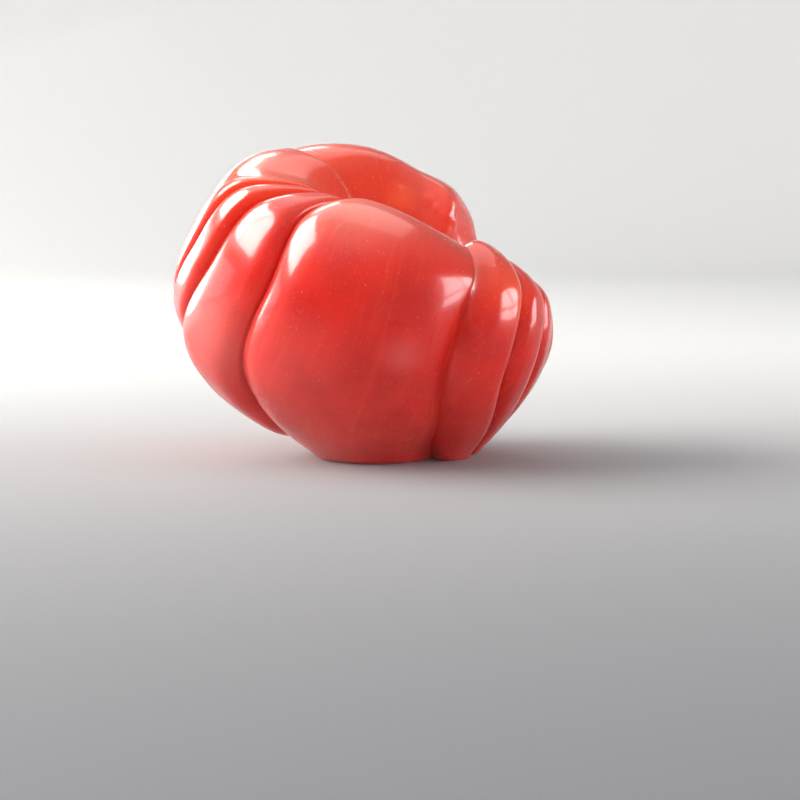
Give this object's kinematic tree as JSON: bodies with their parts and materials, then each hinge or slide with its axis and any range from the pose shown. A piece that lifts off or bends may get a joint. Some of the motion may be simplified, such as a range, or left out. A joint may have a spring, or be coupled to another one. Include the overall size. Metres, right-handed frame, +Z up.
{
  "type": "tomato",
  "caption": "Large pleated tomato with deep uneven lobes round a sunken stem scar, lying a little on its side on a small flat spot.",
  "frame": {"origin": "on the surface the fruit rests on, within its flat spot, straight below the middle of the fruit as seen from the front", "axes": "+Z up, +X to the right and -Y toward the viewer when the big undivided lobe faces the front"},
  "size_m": [0.1105, 0.1056, 0.0919],
  "materials": {
    "tomato_skin": "smooth waxy skin, glossy, ripe red"
  },
  "bodies": {
    "root": {"tomato": "tomato_skin"}
  },
  "joints": []
}
